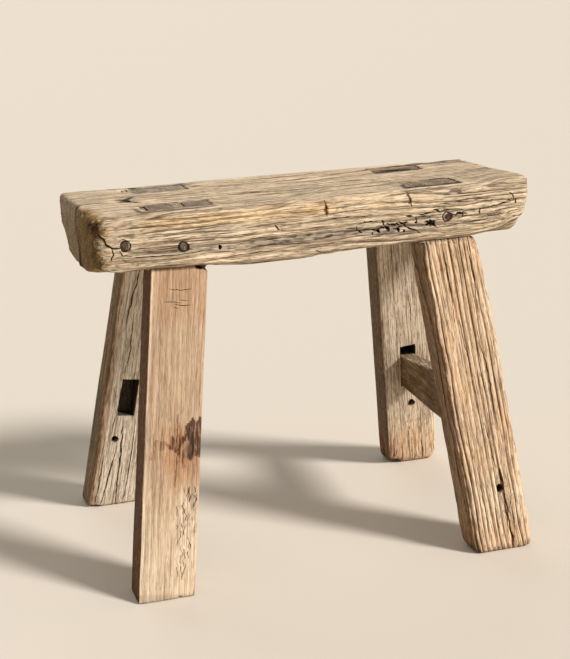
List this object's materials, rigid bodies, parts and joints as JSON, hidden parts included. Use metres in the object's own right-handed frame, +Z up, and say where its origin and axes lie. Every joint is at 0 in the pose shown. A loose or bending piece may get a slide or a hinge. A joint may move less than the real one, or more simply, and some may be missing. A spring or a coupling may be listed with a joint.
{
  "type": "wooden milking stool",
  "caption": "Rustic plank stool on splayed legs with wedged through tenons, draw pegs and a single tapered side stretcher.",
  "frame": {"origin": "on the floor, under the centre of the seat plank", "axes": "+X along the seat towards the end with the stretcher, +Y across the seat away from the edge with the repair peg, +Z up"},
  "size_m": [0.38, 0.2714, 0.312],
  "materials": {
    "weathered_plank": "weathered, unfinished, deeply grained",
    "tan_leg_wood": "worn smooth, unfinished",
    "grey_leg_wood": "weathered grey, cracked along the grain",
    "ridged_leg_wood": "weathered into deep ridges and grooves",
    "pale_leg_wood": "weathered pale, unfinished",
    "wedge_wood": "rough split wood",
    "grey_peg_wood": "weathered end grain",
    "brown_peg_wood": "dark end grain",
    "repair_peg_wood": "dark end grain",
    "stretcher_wood": "rough sawn, unfinished"
  },
  "bodies": {
    "root": {"seat_plank": "weathered_plank", "leg_front_left": "tan_leg_wood", "leg_back_left": "grey_leg_wood", "leg_front_right": "ridged_leg_wood", "leg_back_right": "pale_leg_wood", "wedge_front_left": "wedge_wood", "packing_front_left": "wedge_wood", "peg_front_left": "grey_peg_wood", "peg_back_left": "grey_peg_wood", "peg_front_right": "brown_peg_wood", "peg_back_right": "brown_peg_wood", "repair_peg": "repair_peg_wood", "side_stretcher": "stretcher_wood"}
  },
  "joints": []
}
